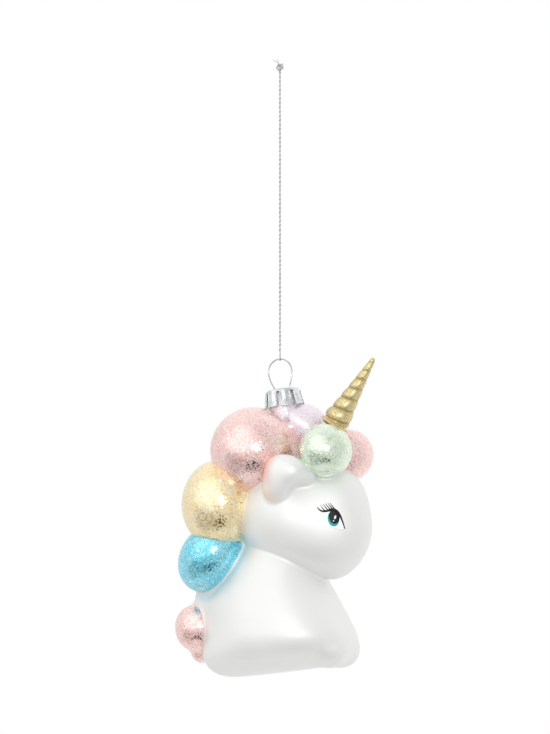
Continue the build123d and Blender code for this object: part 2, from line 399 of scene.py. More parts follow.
def new_mat(name):
    m = bpy.data.materials.new(name)
    m.use_nodes = True
    nt = m.node_tree
    nt.nodes.clear()
    out = nt.nodes.new("ShaderNodeOutputMaterial")
    bsdf = nt.nodes.new("ShaderNodeBsdfPrincipled")
    nt.links.new(bsdf.outputs[0], out.inputs[0])
    return m, nt, bsdf


def node(nt, kind, **props):
    n = nt.nodes.new(kind)
    for k, v in props.items():
        if k in n.inputs.keys():
            n.inputs[k].default_value = v
        else:
            setattr(n, k, v)
    return n


def ramp(nt, src, stops, interp="LINEAR"):
    r = nt.nodes.new("ShaderNodeValToRGB")
    r.color_ramp.interpolation = interp
    el = r.color_ramp.elements
    el[0].position, el[0].color = stops[0]
    el[1].position, el[1].color = stops[-1]
    for pos, c in stops[1:-1]:
        e = el.new(pos)
        e.color = c
    nt.links.new(src, r.inputs[0])
    return r


def grey(v):
    return (v, v, v, 1.0)


def coords(nt):
    """Object coordinates: the piece's own place in metres."""
    t = nt.nodes.new("ShaderNodeTexCoord")
    return t.outputs["Object"]


def glitter_material(name, light, mid, deep, metal=0.85, rough=0.46, flake_tilt=0.085, bare=0.40):
    """Flakes of about 0.3 mm: each flake has its own tint, tilt and gloss."""
    m, nt, b = new_mat(name)
    c = coords(nt)
    vor = node(nt, "ShaderNodeTexVoronoi", feature="F1", Scale=2600.0, Randomness=1.0)
    nt.links.new(c, vor.inputs["Vector"])
    sep = nt.nodes.new("ShaderNodeSeparateColor")
    nt.links.new(vor.outputs["Color"], sep.inputs[0])
    tint = ramp(nt, sep.outputs[0], [(0.0, deep), (0.18, mid), (0.62, mid), (0.90, light), (1.0, light)])
    # slow drift of colour over the bubble, where the lacquer is thinner or thicker
    drift = node(nt, "ShaderNodeTexNoise", Scale=150.0, Detail=3.0)
    nt.links.new(c, drift.inputs["Vector"])
    dr = ramp(nt, drift.outputs["Fac"], [(0.35, grey(0.0)), (0.68, grey(1.0))])
    mix = nt.nodes.new("ShaderNodeMix")
    mix.data_type = "RGBA"
    mix.blend_type = "MIX"
    nt.links.new(dr.outputs[0], mix.inputs[0])
    nt.links.new(tint.outputs[0], mix.inputs[6])
    soft = nt.nodes.new("ShaderNodeMix")
    soft.data_type = "RGBA"
    soft.inputs[0].default_value = 0.35
    nt.links.new(tint.outputs[0], soft.inputs[6])
    soft.inputs[7].default_value = light
    nt.links.new(soft.outputs[2], mix.inputs[7])
    nt.links.new(mix.outputs[2], b.inputs["Base Color"])
    # some flakes lie bare and shine like small mirrors, the rest are under lacquer
    rr = ramp(nt, sep.outputs[1], [(0.0, grey(0.04)), (bare, grey(0.07)), (bare + 0.03, grey(rough)), (1.0, grey(rough * 1.3))])
    nt.links.new(rr.outputs[0], b.inputs["Roughness"])
    mm = ramp(nt, sep.outputs[1], [(0.0, grey(0.95)), (bare, grey(0.95)), (bare + 0.03, grey(metal)), (1.0, grey(metal * 0.7))])
    nt.links.new(mm.outputs[0], b.inputs["Metallic"])
    # every flake is tilted its own way
    tilt = nt.nodes.new("ShaderNodeVectorMath")
    tilt.operation = "MULTIPLY_ADD"
    nt.links.new(vor.outputs["Color"], tilt.inputs[0])
    tilt.inputs[1].default_value = (2 * flake_tilt,) * 3
    tilt.inputs[2].default_value = (-flake_tilt,) * 3
    geo = nt.nodes.new("ShaderNodeNewGeometry")
    add = nt.nodes.new("ShaderNodeVectorMath")
    add.operation = "ADD"
    nt.links.new(tilt.outputs[0], add.inputs[0])
    nt.links.new(geo.outputs["Normal"], add.inputs[1])
    unit = nt.nodes.new("ShaderNodeVectorMath")
    unit.operation = "NORMALIZE"
    nt.links.new(add.outputs[0], unit.inputs[0])
    nt.links.new(unit.outputs[0], b.inputs["Normal"])
    b.inputs["Coat Weight"].default_value = 1.0
    b.inputs["Coat Roughness"].default_value = 0.24
    b.inputs["Coat IOR"].default_value = 2.25
    return m


def pearl_material():
    """Silvered glass under a satin pearl lacquer."""
    m, nt, b = new_mat("pearl_lacquer")
    c = coords(nt)
    cloud = node(nt, "ShaderNodeTexNoise", Scale=55.0, Detail=4.0, Roughness=0.55)
    nt.links.new(c, cloud.inputs["Vector"])
    tint = ramp(nt, cloud.outputs["Fac"], [
        (0.30, (0.882, 0.894, 0.874, 1)), (0.55, (0.906, 0.914, 0.896, 1)), (0.75, (0.920, 0.920, 0.907, 1))])
    # painted reflection: near the bubbles the base colour takes on their colours
    reflection_tint = nt.nodes.new("ShaderNodeAttribute")
    reflection_tint.attribute_name = "painted_bubble_reflection"
    both = nt.nodes.new("ShaderNodeMix")
    both.data_type = "RGBA"
    nt.links.new(reflection_tint.outputs["Alpha"], both.inputs[0])
    nt.links.new(tint.outputs[0], both.inputs[6])
    nt.links.new(reflection_tint.outputs["Color"], both.inputs[7])
    nt.links.new(both.outputs[2], b.inputs["Base Color"])
    fine = node(nt, "ShaderNodeTexNoise", Scale=2600.0, Detail=2.0)
    nt.links.new(c, fine.inputs["Vector"])
    rr = ramp(nt, cloud.outputs["Fac"], [(0.3, grey(0.45)), (0.7, grey(0.51))])
    nt.links.new(rr.outputs[0], b.inputs["Roughness"])
    b.inputs["Metallic"].default_value = 0.34
    bump = node(nt, "ShaderNodeBump", Strength=0.10, Distance=0.00003)
    nt.links.new(fine.outputs["Fac"], bump.inputs["Height"])
    nt.links.new(bump.outputs[0], b.inputs["Normal"])
    b.inputs["Coat Weight"].default_value = 0.12
    b.inputs["Coat Roughness"].default_value = 0.35
    return m


MAT_PEARL = pearl_material()
MAT_PINK = glitter_material("glitter_pink", rgb(255, 240, 236), rgb(255, 202, 194), rgb(244, 158, 152))
MAT_GOLD = glitter_material("glitter_gold", rgb(255, 250, 222), rgb(255, 229, 164), rgb(244, 202, 112))
MAT_BLUE = glitter_material("glitter_blue", rgb(190, 243, 255), rgb(56, 214, 240), rgb(0, 178, 216))
MAT_LILAC = glitter_material("glitter_lilac", rgb(254, 246, 252), rgb(247, 233, 245), rgb(228, 204, 233), 0.25, 0.48, 0.10, 0.08)
MAT_GREEN = glitter_material("glitter_green", rgb(247, 252, 243), rgb(218, 238, 209), rgb(184, 220, 176))

# =====================================================================
# glass body
# =====================================================================
STEP = 0.44
bv, bq = grid_surface(body_field, (-39.5, -25.5, -205.5), (34.0, 25.5, -106.0), STEP)
glass = build("blown_glass", bv, bq, MAT_PEARL, "ornament")


def painted_bubble_reflection(v):
    """Painted reflection: the colours of the bubbles mirrored in the white glass near their edges, with its strength.
    """
    col = np.ones((len(v), 4))
    col[:, 3] = 0.0
    ear = np.minimum(ear_field(v, 1), ear_field(v, -1)) < 0.25
    # painted reflection of the crown and nape bubbles along the ears' back rims, pink above and orange below
    rim = np.clip((-1.9 + 0.045 * (v[:, 2] + 137.7) ** 2 - 0.9135 * v[:, 0] + 0.4067 * np.abs(v[:, 1])) / 2.6, 0.0, 1.0)
    # each bubble's colour is painted on the glass beside it as its reflection
    for name, tone, core, reach, wide, ear_reflection in (
            ("crown", rgb(252, 188, 170), 0.20, 0.0, 0.9, 0.66), ("nape", rgb(253, 206, 140), 0.25, 0.0, 1.0, 0.80),
            ("withers", rgb(150, 216, 236), 0.34, 2.0, 1.5, 0.0), ("tail", rgb(250, 200, 190), 0.25, 0.0, 1.0, 0.0),
            ("forelock_right", rgb(206, 234, 200), 0.25, 0.0, 1.0, 0.0), ("forelock_left", rgb(250, 200, 190), 0.25, 0.0, 1.0, 0.0)):
        d = bubble_field(name, v)
        w = core * np.exp(-((d - reach) / wide) ** 2)
        if ear_reflection:
            low = np.clip((-138.5 - v[:, 2]) / 4.5, 0.0, 1.0)
            band = low if name == "nape" else 1.0 - 0.75 * low
            w = np.where(ear, rim * ear_reflection * band * np.exp(-(np.maximum(d, 0.0) / 12.0) ** 2), w)
        if name == "withers":
            w = w * np.clip(bubble_field("tail", v) / 3.0, 0.0, 1.0)
        more = w > col[:, 3]
        col[more, :3] = tone[:3]
        col[:, 3] = np.maximum(col[:, 3], w)
    return col


_n = len(glass.data.vertices)
_co = np.empty(_n * 3)
glass.data.vertices.foreach_get("co", _co)
# painted reflection of the bubbles, kept as a colour on the glass's points
_at = glass.data.color_attributes.new("painted_bubble_reflection", "FLOAT_COLOR", "POINT")
_at.data.foreach_set("color", painted_bubble_reflection(_co.reshape(-1, 3) / MM).ravel())
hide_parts("glass_body")

# =====================================================================
# glitter bubbles: facets the size of the flakes, each a little tilted
# =====================================================================


def join(parts):
    """Several (points, faces) lists as one."""
    vs, fs = [], []
    for v, f in parts:
        o = len(vs)
        vs.extend(map(tuple, v))
        fs.extend(tuple(int(i) + o for i in q) for q in f)
    return vs, fs


def outward(ob):
    """Faces of a closed piece turned to point outwards."""
    import bmesh
    bm = bmesh.new()
    bm.from_mesh(ob.data)
    bmesh.ops.recalc_face_normals(bm, faces=bm.faces)
    bm.to_mesh(ob.data)
    bm.free()
    ob.data.update()
    return ob


def geodesic(f):
    t = (1 + 5 ** 0.5) / 2
    V = np.array([(-1, t, 0), (1, t, 0), (-1, -t, 0), (1, -t, 0), (0, -1, t), (0, 1, t),
                  (0, -1, -t), (0, 1, -t), (t, 0, -1), (t, 0, 1), (-t, 0, -1), (-t, 0, 1)], float)
    V /= np.linalg.norm(V, axis=1)[:, None]
    T = [(0, 11, 5), (0, 5, 1), (0, 1, 7), (0, 7, 10), (0, 10, 11), (1, 5, 9), (5, 11, 4),
         (11, 10, 2), (10, 7, 6), (7, 1, 8), (3, 9, 4), (3, 4, 2), (3, 2, 6), (3, 6, 8),
         (3, 8, 9), (4, 9, 5), (2, 4, 11), (6, 2, 10), (8, 6, 7), (9, 8, 1)]
    pts, tri = [], []
    base = 0
    ij = [(i, j) for i in range(f + 1) for j in range(f + 1 - i)]
    at = {q: n for n, q in enumerate(ij)}
    local = []
    for i in range(f):
        for j in range(f - i):
            local.append((at[i, j], at[i + 1, j], at[i, j + 1]))
            if i + j < f - 1:
                local.append((at[i + 1, j], at[i + 1, j + 1], at[i, j + 1]))
    local = np.array(local)
    w = np.array([(f - i - j, i, j) for i, j in ij], float) / f
    for t3 in T:
        pts.append(w @ V[list(t3)])
        tri.append(local + base)
        base += len(ij)
    P = np.concatenate(pts)
    P /= np.linalg.norm(P, axis=1)[:, None]
    tri = np.concatenate(tri)
    _, first, inv = np.unique(np.round(P, 6), axis=0, return_index=True, return_inverse=True)
    return P[first], inv.reshape(-1)[tri]


def lumps(P, rng, n, lo, hi):
    """Slow unevenness over a ball: a sum of a few plane waves."""
    s = np.zeros(len(P))
    for _ in range(n):
        k = rng.normal(size=3)
        k = k / np.linalg.norm(k) * rng.uniform(lo, hi)
        s += np.sin(P @ k + rng.uniform(0, 6.28))
    return s / math.sqrt(n)


def neck_sleeve():
    """The glitter goes on up the neck, under the cap."""
    prof = [(4.92, -2.0), (5.06, -2.0), (5.08, -3.0), (5.10, -6.0), (5.14, -9.0), (5.25, -12.5), (4.92, -12.5)]
    n = 72
    v = [tuple(CAP_TOP + h * AXIS_UP + r * (math.cos(2 * math.pi * k / n) * AXIS_X + math.sin(2 * math.pi * k / n) * np.array([0.0, 1.0, 0.0])))
         for r, h in prof for k in range(n)]
    m = len(prof)
    f = [(i * n + k, i * n + (k + 1) % n, ((i + 1) % m) * n + (k + 1) % n, ((i + 1) % m) * n + k)
         for i in range(m) for k in range(n)]
    return v, f


def bubble(name, mat, nodes, seed, flake=0.36, sleeve=None):
    c, r, ry, wide = BALLS[name]
    c, r = np.asarray(c, float), np.asarray(r, float)
    rng = np.random.default_rng(seed)
    f = int(round(1.107 * r.mean() / flake))
    P, tri = geodesic(f)
    P = P + rng.normal(size=P.shape) * (0.22 * flake / r.mean())
    P /= np.linalg.norm(P, axis=1)[:, None]
    lo, hi = np.zeros(len(P)), np.full(len(P), 2.2 * r.max() + wide)
    for _ in range(26):
        mid = (lo + hi) / 2
        out = bubble_field(name, c + P * mid[:, None]) > 0
        hi = np.where(out, mid, hi)
        lo = np.where(out, lo, mid)
    rad = lo + 0.05 * lumps(P, rng, 10, 3, 9) + rng.uniform(-0.010, 0.010, len(P))
    v, fs = c + P * rad[:, None], tri
    if sleeve is not None:
        v, fs = join([(v, fs), sleeve])
    ob = build(name + "_bubble", v, fs, mat, "ornament")
    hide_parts(*nodes)
    return ob


bubble("crown", MAT_PINK, ["crown_coat"], 11)
bubble("nape", MAT_GOLD, ["nape_coat"], 12)
bubble("withers", MAT_BLUE, ["withers_coat"], 13)
outward(bubble("poll", MAT_LILAC, ["poll_coat"], 14, sleeve=neck_sleeve()))
bubble("forelock_right", MAT_GREEN, ["forelock_right_coat"], 15)
bubble("forelock_left", MAT_PINK, ["forelock_left_coat"], 16)
bubble("tail", MAT_PINK, ["tail_coat"], 17)

# =====================================================================
# tubes along a line of points
# =====================================================================


def frames(pts):
    """Tangents and a steady pair of normals along a line of points."""
    pts = np.asarray(pts, float)
    t = np.gradient(pts, axis=0)
    t /= np.linalg.norm(t, axis=1)[:, None]
    n = np.empty_like(t)
    a = np.array([0.0, 1.0, 0.0]) if abs(t[0][1]) < 0.9 else np.array([1.0, 0.0, 0.0])
    v = a - t[0] * (a @ t[0])
    n[0] = v / np.linalg.norm(v)
    for i in range(1, len(t)):
        v = n[i - 1] - t[i] * (n[i - 1] @ t[i])
        n[i] = v / np.linalg.norm(v)
    return t, n, np.cross(t, n)


def tube(pts, radius, sides=12, closed=False):
    """A round closed tube along points; radius is a number or one per point."""
    pts = np.asarray(pts, float)
    m = len(pts)
    rad = np.broadcast_to(np.asarray(radius, float), (m,)).copy()
    t, n, b = frames(pts)
    if closed:
        t = np.roll(pts, -1, 0) - np.roll(pts, 1, 0)
        t /= np.linalg.norm(t, axis=1)[:, None]
    ang = np.arange(sides) / sides * 2 * math.pi
    ring = (np.cos(ang)[None, :, None] * n[:, None] + np.sin(ang)[None, :, None] * b[:, None])
    v = (pts[:, None] + ring * rad[:, None, None]).reshape(-1, 3)
    f = []
    for i in range(m if closed else m - 1):
        j = (i + 1) % m
        for k in range(sides):
            l = (k + 1) % sides
            f.append((i * sides + k, i * sides + l, j * sides + l, j * sides + k))
    v = list(map(tuple, v))
    if not closed:
        for end, at, d in ((0, pts[0], -t[0]), (m - 1, pts[-1], t[-1])):
            # rounded end: one smaller ring and a point
            r = rad[end]
            base = len(v)
            mid = at + d * r * 0.62
            for k in range(sides):
                o = math.cos(ang[k]) * n[end] + math.sin(ang[k]) * b[end]
                v.append(tuple(mid + o * r * 0.72))
            v.append(tuple(at + d * r * 0.95))
            tip = len(v) - 1
            for k in range(sides):
                l = (k + 1) % sides
                quad = (end * sides + k, base + k, base + l, end * sides + l)
                tri = (base + k, tip, base + l)
                f.append(quad)
                f.append(tri)
    return v, f


# =====================================================================
# horn
# =====================================================================


def horn_material():
    m, nt, b = new_mat("horn_gold")
    c = coords(nt)
    vor = node(nt, "ShaderNodeTexVoronoi", feature="F1", Scale=3800.0, Randomness=1.0)
    nt.links.new(c, vor.inputs["Vector"])
    sep = nt.nodes.new("ShaderNodeSeparateColor")
    nt.links.new(vor.outputs["Color"], sep.inputs[0])
    tint = ramp(nt, sep.outputs[0], [
        (0.0, rgb(186, 162, 100)), (0.25, rgb(216, 198, 144)), (0.80, rgb(226, 210, 160)), (1.0, rgb(250, 242, 212))])
    # painted shade: the spiral's grooves are darkened in the colour, towards a dark olive gold
    groove_shade = nt.nodes.new("ShaderNodeAttribute")
    groove_shade.attribute_name = "groove"
    both = nt.nodes.new("ShaderNodeMix")
    both.data_type = "RGBA"
    nt.links.new(groove_shade.outputs["Fac"], both.inputs[0])
    nt.links.new(tint.outputs[0], both.inputs[6])
    both.inputs[7].default_value = rgb(150, 124, 66)
    nt.links.new(both.outputs[2], b.inputs["Base Color"])
    rr = ramp(nt, sep.outputs[1], [(0.0, grey(0.26)), (1.0, grey(0.44))])
    nt.links.new(rr.outputs[0], b.inputs["Roughness"])
    b.inputs["Metallic"].default_value = 0.80
    bump = node(nt, "ShaderNodeBump", Strength=0.22, Distance=0.00008)
    nt.links.new(sep.outputs[2], bump.inputs["Height"])
    nt.links.new(bump.outputs[0], b.inputs["Normal"])
    return m


MAT_HORN = horn_material()
HORN_E1 = np.array([0.0, 1.0, 0.0])
HORN_E2 = np.cross(HORN_UP, HORN_E1)
H_R = curve_through([0, 0.9, 1.3, 2.2, 3.4, 6.0, 10.0, 14.0, 18.0, 22.0, 24.4, HORN_LEN],
                    [3.5, 3.6, 4.2, 4.55, 4.45, 3.85, 3.14, 2.48, 1.86, 1.26, 0.88, 0.52])


def horn_mesh():
    rng = np.random.default_rng(5)
    nz, na = 300, 112
    z = np.linspace(0.9, HORN_LEN, nz)
    # phase of the spiral: the turns get closer towards the tip
    pitch = np.interp(z, [0.9, 12.0, HORN_LEN], [4.35, 3.85, 2.9])
    ph = np.concatenate([[0.0], np.cumsum(0.5 * (1 / pitch[1:] + 1 / pitch[:-1]) * np.diff(z))])
    a = np.arange(na) / na * 2 * math.pi
    w = (ph[:, None] - a[None, :] / (2 * math.pi) + 0.32) % 1.0
    g = np.clip(1.0 - np.abs(2.0 * w - 1.0) ** 2.4, 0.0, 1.0) ** 0.60
    depth = np.interp(z, [0.9, 2.0, 20.0, HORN_LEN], [0.08, 0.18, 0.16, 0.07])[:, None]
    r = H_R(z)[:, None] * (1.0 - depth + depth * g)
    # rounded tip
    e = np.clip((z - (HORN_LEN - 0.55)) / 0.55, 0.0, 1.0)
    r = r * np.sqrt(np.maximum(1.0 - e * e, 0.0))[:, None]
    r = r + rng.uniform(-0.012, 0.012, r.shape) * np.clip(r, 0, 1)
    P = (HORN_BASE + z[:, None, None] * HORN_UP
         + r[..., None] * (np.cos(a)[None, :, None] * HORN_E1 + np.sin(a)[None, :, None] * HORN_E2))
    v = list(map(tuple, P.reshape(-1, 3)[: (nz - 1) * na]))
    f = []
    for i in range(nz - 2):
        for k in range(na):
            l = (k + 1) % na
            f.append((i * na + k, i * na + l, (i + 1) * na + l, (i + 1) * na + k))
    v.append(tuple(HORN_TIP))
    for k in range(na):
        f.append(((nz - 2) * na + k, (nz - 2) * na + (k + 1) % na, len(v) - 1))
    v.append(tuple(HORN_BASE + 0.9 * HORN_UP))
    for k in range(na):
        f.append(((k + 1) % na, k, len(v) - 1))
    # collar: a thin plate that swells into the first turn
    prof = [(0.0, 0.0), (3.6, 0.0), (4.45, 0.02), (4.78, 0.12), (4.88, 0.32), (4.80, 0.52),
            (4.55, 0.66), (4.2, 0.86), (3.9, 1.25), (3.6, 1.9), (0.0, 2.0)]
    cv, cf = [], []
    for (pr, pz) in prof[1:-1]:
        for k in range(na):
            jit = 1.0 + 0.012 * math.sin(3 * a[k] + 0.7) + 0.006 * math.sin(7 * a[k])
            cv.append(tuple(HORN_BASE + pz * HORN_UP + pr * jit * (math.cos(a[k]) * HORN_E1 + math.sin(a[k]) * HORN_E2)))
    m = len(prof) - 2
    for i in range(m - 1):
        for k in range(na):
            l = (k + 1) % na
            cf.append((i * na + k, i * na + l, (i + 1) * na + l, (i + 1) * na + k))
    cv.append(tuple(HORN_BASE))
    cv.append(tuple(HORN_BASE + 2.0 * HORN_UP))
    for k in range(na):
        l = (k + 1) % na
        cf.append((l, k, len(cv) - 2))
        cf.append(((m - 1) * na + k, (m - 1) * na + l, len(cv) - 1))
    hv, hf = join([(v, f), (cv, cf)])
    # painted shade in the grooves of the spiral, darkest at each groove's bottom
    dark = np.zeros(len(hv))
    dark[:(nz - 1) * na] = 0.75 * np.clip(1.0 - g[:-1].ravel(), 0.0, 1.0) ** 1.3
    return hv, hf, dark


hv, hf, dark = horn_mesh()
horn = outward(build("spiral_horn", hv, hf, MAT_HORN, "ornament"))
_at = horn.data.attributes.new("groove", "FLOAT", "POINT")
_at.data.foreach_set("value", dark)
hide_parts("horn")

m, nt, b = new_mat("clear_glue")
n1 = node(nt, "ShaderNodeTexNoise", Scale=900.0, Detail=2.0)
nt.links.new(coords(nt), n1.inputs["Vector"])
r1 = ramp(nt, n1.outputs["Fac"], [(0.3, rgb(120, 98, 60)), (0.7, rgb(168, 146, 100))])
nt.links.new(r1.outputs[0], b.inputs["Base Color"])
r2 = ramp(nt, n1.outputs["Fac"], [(0.3, grey(0.18)), (0.7, grey(0.30))])
nt.links.new(r2.outputs[0], b.inputs["Roughness"])
glue_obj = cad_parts["horn_glue"]
glue_obj.data.materials.clear()
glue_obj.data.materials.append(m)

# =====================================================================
# cap
# =====================================================================


def metal_material(name, lo, hi, r_lo, r_hi, scale, bump_strength=0.15):
    m, nt, b = new_mat(name)
    c = coords(nt)
    n = node(nt, "ShaderNodeTexNoise", Scale=scale, Detail=4.0, Roughness=0.6)
    nt.links.new(c, n.inputs["Vector"])
    t = ramp(nt, n.outputs["Fac"], [(0.3, lo), (0.7, hi)])
    nt.links.new(t.outputs[0], b.inputs["Base Color"])
    r = ramp(nt, n.outputs["Fac"], [(0.25, grey(r_lo)), (0.75, grey(r_hi))])
    nt.links.new(r.outputs[0], b.inputs["Roughness"])
    b.inputs["Metallic"].default_value = 1.0
    bump = node(nt, "ShaderNodeBump", Strength=bump_strength, Distance=0.00006)
    nt.links.new(n.outputs["Fac"], bump.inputs["Height"])
    nt.links.new(bump.outputs[0], b.inputs["Normal"])
    return m


MAT_CAP = metal_material("cap_metal", rgb(204, 212, 212), rgb(240, 246, 245), 0.14, 0.32, 800.0, 0.45)
MAT_WIRE = metal_material("hanger_wire", rgb(176, 180, 182), rgb(214, 217, 218), 0.12, 0.28, 1500.0)
CAP_PROFILE = [(0.0, -1.10), (4.85, -1.10), (5.25, -1.15), (5.52, -1.30), (5.66, -1.56),
               (5.72, -2.1), (5.86, -3.4), (6.30, -6.05), (6.50, -7.7)]
PETAL = math.radians(45.0)
GAP_AT = math.radians(7.0)


def cap_field(q):
    """Stamped sheet cap in its own frame: x, y across, z up from the top face."""
    x, y, z = q[..., 0], q[..., 1], q[..., 2]
    rad = np.sqrt(x * x + y * y)
    th = np.arctan2(y, x)
    w = ((th - GAP_AT + PETAL / 2) % PETAL) - PETAL / 2      # angle from the nearest gap
    c = np.clip(1.0 - np.abs(w) / (PETAL / 2), 0.0, 1.0)     # 1 at the gap, 0 in the petal's middle
    down = np.clip((-z - 1.4) / 4.6, 0.0, 1.3)
    bulge = down * (0.14 * (1 - c * c) - 0.14 * c ** 3)
    # pressed relief in each petal: a ridge down the middle and two dimples beside it
    mid = PETAL / 2 - np.abs(w)                              # angle from the petal's middle
    s = mid * 6.0
    relief = np.exp(-(s / 0.45) ** 2) * 0.16 - np.exp(-((s - 1.15) / 0.38) ** 2) * 0.13
    relief = relief * np.exp(-((z + 3.6) / 1.35) ** 2)
    flat = np.clip((-z - 1.2) / 1.0, 0.0, 1.0) * 0.92
    r2 = rad * (1.0 - flat * (1.0 - np.cos(mid))) - bulge - relief
    d = np.full(rad.shape, 1e9)
    for (r0, z0), (r1, z1) in zip(CAP_PROFILE[:-1], CAP_PROFILE[1:]):
        er, ez = r1 - r0, z1 - z0
        t = np.clip(((r2 - r0) * er + (z - z0) * ez) / (er * er + ez * ez), 0.0, 1.0)
        d = np.minimum(d, np.sqrt((r2 - r0 - t * er) ** 2 + (z - z0 - t * ez) ** 2))
    d = d - 0.16
    half = 0.46 + 0.30 * np.clip((-z - 2.0) / 4.0, 0.0, 1.0)
    slot = np.maximum(np.abs(w) * rad - half, z + 2.0)
    d = smax(d, -slot, 0.10)
    hem = -6.40 - 0.70 * np.cos(th + 1.15) + 0.50 * np.clip((c - 0.35) / 0.65, 0.0, 1.0) ** 2 + 0.10 * np.cos(4 * th + 0.6)
    d = smax(d, hem - z, 0.15)
    for sx in (-1, 1):
        d = smax(d, 0.60 - np.sqrt((x - sx * 2.7) ** 2 + y * y + np.maximum(np.abs(z + 0.9) - 0.8, 0) ** 2), 0.10)
    return d


cv, cq = grid_surface(cap_field, (-7.3, -7.3, -7.9), (7.3, 7.3, 0.4), 0.125)
CAP_M = np.stack([AXIS_X, np.array([0.0, 1.0, 0.0]), AXIS_UP], 0)      # rows: axes of the cap's frame
cap = build("crown_cap_shell", cv @ CAP_M + CAP_TOP, cq, MAT_CAP, "cap")
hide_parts("crown_cap")

# =====================================================================
# wire hanger
# =====================================================================


def cap_xz(x, z):
    return CAP_TOP + x * AXIS_X + z * AXIS_UP


def wire_path():
    cen = np.array([0.0, 0.0, RING_Z])
    t = np.linspace(-0.12, math.pi + 0.12, 72)
    loop = [cen + 4.22 * math.cos(q) * AXIS_X + RING_R * math.sin(q) * AXIS_UP for q in t]
    # each leg bends in to its hole, goes through it, then splays
    low = [(4.08, -1.55), (3.78, -2.75), (3.38, -3.85), (2.98, -4.75)]
    side = [[cen + sx * x * AXIS_X + z * AXIS_UP for x, z in low]
            + [cap_xz(sx * 2.74, 0.0), cap_xz(sx * 2.68, -0.8), cap_xz(sx * 2.78, -2.5),
               cap_xz(sx * 2.92, -5.5), cap_xz(sx * 3.05, -8.9)] for sx in (1, -1)]
    right, left = side
    return np.array(right[::-1] + loop + left)


def resample(pts, step):
    """Even spacing along a Catmull-Rom line through the points."""
    pts = np.asarray(pts, float)
    P = np.vstack([2 * pts[0] - pts[1], pts, 2 * pts[-1] - pts[-2]])
    fine = []
    for i in range(1, len(P) - 2):
        t = np.linspace(0, 1, 8, endpoint=False)[:, None]
        a, b, c, d = P[i - 1], P[i], P[i + 1], P[i + 2]
        fine.append(0.5 * (2 * b + (c - a) * t + (2 * a - 5 * b + 4 * c - d) * t ** 2 + (3 * b - a - 3 * c + d) * t ** 3))
    fine = np.vstack(fine + [pts[-1:]])
    s = np.concatenate([[0], np.cumsum(np.linalg.norm(np.diff(fine, axis=0), axis=1))])
    n = max(int(round(s[-1] / step)), 2)
    u = np.linspace(0, s[-1], n + 1)
    return np.stack([np.interp(u, s, fine[:, i]) for i in range(3)], 1)


wv, wf = tube(resample(wire_path(), 0.22), WIRE_D / 2, 14)
wire = outward(build("wire_loop", wv, wf, MAT_WIRE, "hanger"))
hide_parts("wire_hanger")

# =====================================================================
# thread: two metallic strands twisted together, a bight on the wire, a knot and two cut ends
# =====================================================================


def thread_material():
    m, nt, b = new_mat("silver_thread")
    c = coords(nt)
    mp = nt.nodes.new("ShaderNodeMapping")
    mp.inputs["Scale"].default_value = (1.0, 1.0, 0.35)
    nt.links.new(c, mp.inputs["Vector"])
    n = node(nt, "ShaderNodeTexNoise", Scale=5200.0, Detail=3.0)
    nt.links.new(mp.outputs[0], n.inputs["Vector"])
    t = ramp(nt, n.outputs["Fac"], [(0.30, rgb(150, 151, 153)), (0.50, rgb(212, 213, 214)), (0.75, rgb(248, 248, 248))])
    nt.links.new(t.outputs[0], b.inputs["Base Color"])
    r = ramp(nt, n.outputs["Fac"], [(0.3, grey(0.28)), (0.7, grey(0.52))])
    nt.links.new(r.outputs[0], b.inputs["Roughness"])
    b.inputs["Metallic"].default_value = 0.55
    bump = node(nt, "ShaderNodeBump", Strength=0.6, Distance=0.00008)
    nt.links.new(n.outputs["Fac"], bump.inputs["Height"])
    nt.links.new(bump.outputs[0], b.inputs["Normal"])
    return m


MAT_THREAD = thread_material()
STRAND_R = 0.185
PLY_R = 0.185            # each strand's distance from the middle of the twist
PLY_PITCH = 3.0          # millimetres for one full turn of the twist
RUN_BOTTOM = -95.7375


def route_points(ctrl, fineness=40):
    """Points along a smooth NURBS line with the given control points, in millimetres."""
    cu = bpy.data.curves.new("route", "CURVE")
    cu.dimensions = "3D"
    sp = cu.splines.new("NURBS")
    sp.points.add(len(ctrl) - 1)
    for p, q in zip(sp.points, ctrl):
        p.co = (q[0] * MM, q[1] * MM, q[2] * MM, 1.0)
    sp.order_u = 3
    sp.use_endpoint_u = True
    sp.resolution_u = fineness
    ob = bpy.data.objects.new("route", cu)
    bpy.context.scene.collection.objects.link(ob)
    me = bpy.data.meshes.new_from_object(ob)
    pts = np.array([v.co[:] for v in me.vertices]) / MM
    bpy.data.objects.remove(ob)
    bpy.data.curves.remove(cu)
    bpy.data.meshes.remove(me)
    return pts


def strands(P, radius, ply, pitch, phase=0.0, sides=8):
    """Two strands that wind round a line."""
    u = np.concatenate([[0], np.cumsum(np.linalg.norm(np.diff(P, axis=0), axis=1))])
    t, n, b = frames(P)
    parts = []
    for k in (0, 1):
        a = 2 * math.pi * u / pitch + math.pi * k + phase
        q = P + ply * (np.cos(a)[:, None] * n + np.sin(a)[:, None] * b)
        parts.append(tube(q, radius, sides))
    return parts


# from the wire straight up to the knot, with a point six diameters above the wire
run_line = route_points([(0, 0, RUN_BOTTOM), (0, 0, RUN_BOTTOM + 5.1), (0, 0, 0)], 900)
rv, rf = join(strands(run_line, STRAND_R, PLY_R, PLY_PITCH))
thread = outward(build("hanging_thread", rv, rf, MAT_THREAD, "cord"))
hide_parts("cord_run")

